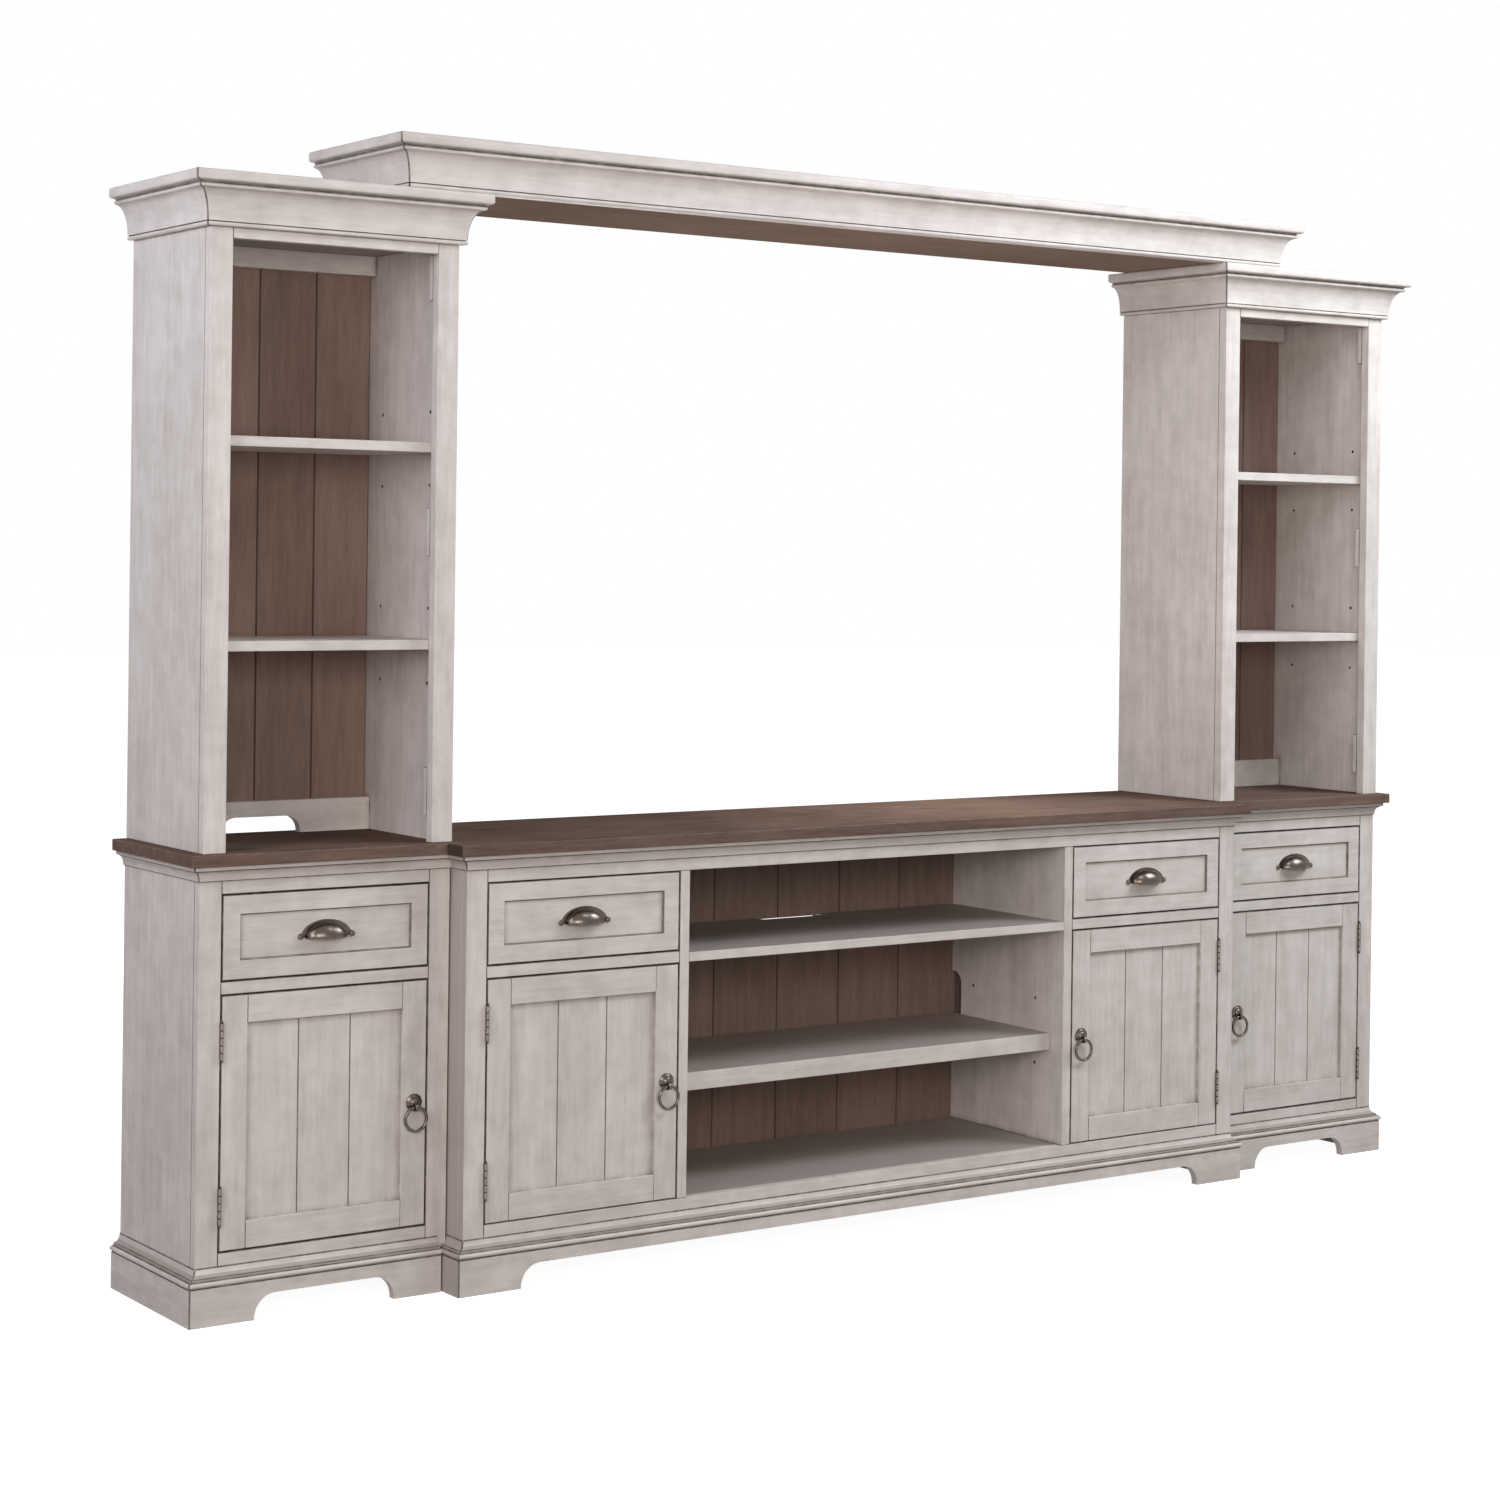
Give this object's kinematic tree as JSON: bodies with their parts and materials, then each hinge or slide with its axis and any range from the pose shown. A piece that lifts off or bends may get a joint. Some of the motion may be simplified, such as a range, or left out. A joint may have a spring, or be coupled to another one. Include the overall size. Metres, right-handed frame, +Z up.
{
  "type": "entertainment center",
  "caption": "Wall unit for a television: wide low console between two pier cabinets, each pier with an open hutch, and a cornice bridge across the hutches",
  "frame": {"origin": "centre of the bounding box in X and Y, on the floor", "axes": "+X to the right along the front, +Y to the wall (the front faces -Y), +Z up"},
  "size_m": [2.9836, 0.409, 2.0798],
  "materials": {
    "left_pier_case": "antique white paint with grey glaze",
    "left_pier_face_frame": "antique white paint with grey glaze",
    "left_pier_top": "weathered brown stain",
    "left_pier_plinth": "antique white paint with grey glaze",
    "left_hutch_case": "antique white paint with grey glaze",
    "left_hutch_back_panel": "weathered brown stain",
    "left_hutch_face_frame": "antique white paint with grey glaze",
    "left_hutch_crown": "antique white paint with grey glaze",
    "left_hutch_upper_shelf": "antique white paint with grey glaze",
    "left_hutch_lower_shelf": "antique white paint with grey glaze",
    "right_pier_case": "antique white paint with grey glaze",
    "right_pier_face_frame": "antique white paint with grey glaze",
    "right_pier_top": "weathered brown stain",
    "right_pier_plinth": "antique white paint with grey glaze",
    "right_hutch_case": "antique white paint with grey glaze",
    "right_hutch_back_panel": "weathered brown stain",
    "right_hutch_face_frame": "antique white paint with grey glaze",
    "right_hutch_crown": "antique white paint with grey glaze",
    "right_hutch_upper_shelf": "antique white paint with grey glaze",
    "right_hutch_lower_shelf": "antique white paint with grey glaze",
    "console_case": "antique white paint with grey glaze",
    "console_back_panel": "weathered brown stain",
    "console_face_frame": "antique white paint with grey glaze",
    "console_top": "weathered brown stain",
    "console_plinth": "antique white paint with grey glaze",
    "console_upper_shelf": "antique white paint with grey glaze",
    "console_lower_shelf": "antique white paint with grey glaze",
    "bridge_cornice": "antique white paint with grey glaze",
    "left_pier_upper_hinge": "antique nickel plate",
    "left_pier_lower_hinge": "antique nickel plate",
    "right_pier_upper_hinge": "antique nickel plate",
    "right_pier_lower_hinge": "antique nickel plate",
    "console_left_upper_hinge": "antique nickel plate",
    "console_left_lower_hinge": "antique nickel plate",
    "console_right_upper_hinge": "antique nickel plate",
    "console_right_lower_hinge": "antique nickel plate",
    "left_pier_drawer_front": "antique white paint with grey glaze",
    "left_pier_drawer_box": "clear lacquer",
    "left_pier_cup_pull": "antique nickel plate",
    "left_pier_door": "antique white paint with grey glaze",
    "left_pier_ring_rosette": "antique nickel plate",
    "left_pier_ring": "antique nickel plate",
    "right_pier_drawer_front": "antique white paint with grey glaze",
    "right_pier_drawer_box": "clear lacquer",
    "right_pier_cup_pull": "antique nickel plate",
    "right_pier_door": "antique white paint with grey glaze",
    "right_pier_ring_rosette": "antique nickel plate",
    "right_pier_ring": "antique nickel plate",
    "console_left_drawer_front": "antique white paint with grey glaze",
    "console_left_drawer_box": "clear lacquer",
    "console_left_cup_pull": "antique nickel plate",
    "console_left_door": "antique white paint with grey glaze",
    "console_left_ring_rosette": "antique nickel plate",
    "console_left_ring": "antique nickel plate",
    "console_right_drawer_front": "antique white paint with grey glaze",
    "console_right_drawer_box": "clear lacquer",
    "console_right_cup_pull": "antique nickel plate",
    "console_right_door": "antique white paint with grey glaze",
    "console_right_ring_rosette": "antique nickel plate",
    "console_right_ring": "antique nickel plate"
  },
  "bodies": {
    "cabinet": {"left_pier_case": "left_pier_case", "left_pier_face_frame": "left_pier_face_frame", "left_pier_top": "left_pier_top", "left_pier_plinth": "left_pier_plinth", "left_hutch_case": "left_hutch_case", "left_hutch_back_panel": "left_hutch_back_panel", "left_hutch_face_frame": "left_hutch_face_frame", "left_hutch_crown": "left_hutch_crown", "left_hutch_upper_shelf": "left_hutch_upper_shelf", "left_hutch_lower_shelf": "left_hutch_lower_shelf", "right_pier_case": "right_pier_case", "right_pier_face_frame": "right_pier_face_frame", "right_pier_top": "right_pier_top", "right_pier_plinth": "right_pier_plinth", "right_hutch_case": "right_hutch_case", "right_hutch_back_panel": "right_hutch_back_panel", "right_hutch_face_frame": "right_hutch_face_frame", "right_hutch_crown": "right_hutch_crown", "right_hutch_upper_shelf": "right_hutch_upper_shelf", "right_hutch_lower_shelf": "right_hutch_lower_shelf", "console_case": "console_case", "console_back_panel": "console_back_panel", "console_face_frame": "console_face_frame", "console_top": "console_top", "console_plinth": "console_plinth", "console_upper_shelf": "console_upper_shelf", "console_lower_shelf": "console_lower_shelf", "bridge_cornice": "bridge_cornice", "left_pier_upper_hinge": "left_pier_upper_hinge", "left_pier_lower_hinge": "left_pier_lower_hinge", "right_pier_upper_hinge": "right_pier_upper_hinge", "right_pier_lower_hinge": "right_pier_lower_hinge", "console_left_upper_hinge": "console_left_upper_hinge", "console_left_lower_hinge": "console_left_lower_hinge", "console_right_upper_hinge": "console_right_upper_hinge", "console_right_lower_hinge": "console_right_lower_hinge"},
    "left_pier_drawer": {"left_pier_drawer_front": "left_pier_drawer_front", "left_pier_drawer_box": "left_pier_drawer_box", "left_pier_cup_pull": "left_pier_cup_pull"},
    "left_pier_door": {"left_pier_door": "left_pier_door", "left_pier_ring_rosette": "left_pier_ring_rosette"},
    "left_pier_ring": {"left_pier_ring": "left_pier_ring"},
    "right_pier_drawer": {"right_pier_drawer_front": "right_pier_drawer_front", "right_pier_drawer_box": "right_pier_drawer_box", "right_pier_cup_pull": "right_pier_cup_pull"},
    "right_pier_door": {"right_pier_door": "right_pier_door", "right_pier_ring_rosette": "right_pier_ring_rosette"},
    "right_pier_ring": {"right_pier_ring": "right_pier_ring"},
    "console_left_drawer": {"console_left_drawer_front": "console_left_drawer_front", "console_left_drawer_box": "console_left_drawer_box", "console_left_cup_pull": "console_left_cup_pull"},
    "console_left_door": {"console_left_door": "console_left_door", "console_left_ring_rosette": "console_left_ring_rosette"},
    "console_left_ring": {"console_left_ring": "console_left_ring"},
    "console_right_drawer": {"console_right_drawer_front": "console_right_drawer_front", "console_right_drawer_box": "console_right_drawer_box", "console_right_cup_pull": "console_right_cup_pull"},
    "console_right_door": {"console_right_door": "console_right_door", "console_right_ring_rosette": "console_right_ring_rosette"},
    "console_right_ring": {"console_right_ring": "console_right_ring"}
  },
  "joints": [
    {"name": "left_pier_drawer_slide", "type": "slide", "parent": "cabinet", "child": "left_pier_drawer", "axis": [0, -1, 0], "range_m": [0, 0.22]},
    {"name": "left_pier_door_hinge", "type": "hinge", "parent": "cabinet", "child": "left_pier_door", "pos_m": [-1.40225, -0.12305, 0.344], "axis": [0, 0, -1], "range_deg": [0, 110]},
    {"name": "left_pier_ring_pivot", "type": "hinge", "parent": "left_pier_door", "child": "left_pier_ring", "pos_m": [-1.024, -0.13005, 0.338], "axis": [-1, 0, 0], "range_deg": [0, 85]},
    {"name": "right_pier_drawer_slide", "type": "slide", "parent": "cabinet", "child": "right_pier_drawer", "axis": [0, -1, 0], "range_m": [0, 0.22]},
    {"name": "right_pier_door_hinge", "type": "hinge", "parent": "cabinet", "child": "right_pier_door", "pos_m": [1.40225, -0.12305, 0.344], "axis": [0, 0, 1], "range_deg": [0, 110]},
    {"name": "right_pier_ring_pivot", "type": "hinge", "parent": "right_pier_door", "child": "right_pier_ring", "pos_m": [1.024, -0.13005, 0.338], "axis": [-1, 0, 0], "range_deg": [0, 85]},
    {"name": "console_left_drawer_slide", "type": "slide", "parent": "cabinet", "child": "console_left_drawer", "axis": [0, -1, 0], "range_m": [0, 0.26]},
    {"name": "console_left_door_hinge", "type": "hinge", "parent": "cabinet", "child": "console_left_door", "pos_m": [-0.90775, -0.18105, 0.344], "axis": [0, 0, -1], "range_deg": [0, 110]},
    {"name": "console_left_ring_pivot", "type": "hinge", "parent": "console_left_door", "child": "console_left_ring", "pos_m": [-0.5175, -0.18805, 0.338], "axis": [-1, 0, 0], "range_deg": [0, 85]},
    {"name": "console_right_drawer_slide", "type": "slide", "parent": "cabinet", "child": "console_right_drawer", "axis": [0, -1, 0], "range_m": [0, 0.26]},
    {"name": "console_right_door_hinge", "type": "hinge", "parent": "cabinet", "child": "console_right_door", "pos_m": [0.90775, -0.18105, 0.344], "axis": [0, 0, 1], "range_deg": [0, 110]},
    {"name": "console_right_ring_pivot", "type": "hinge", "parent": "console_right_door", "child": "console_right_ring", "pos_m": [0.5175, -0.18805, 0.338], "axis": [-1, 0, 0], "range_deg": [0, 85]}
  ]
}
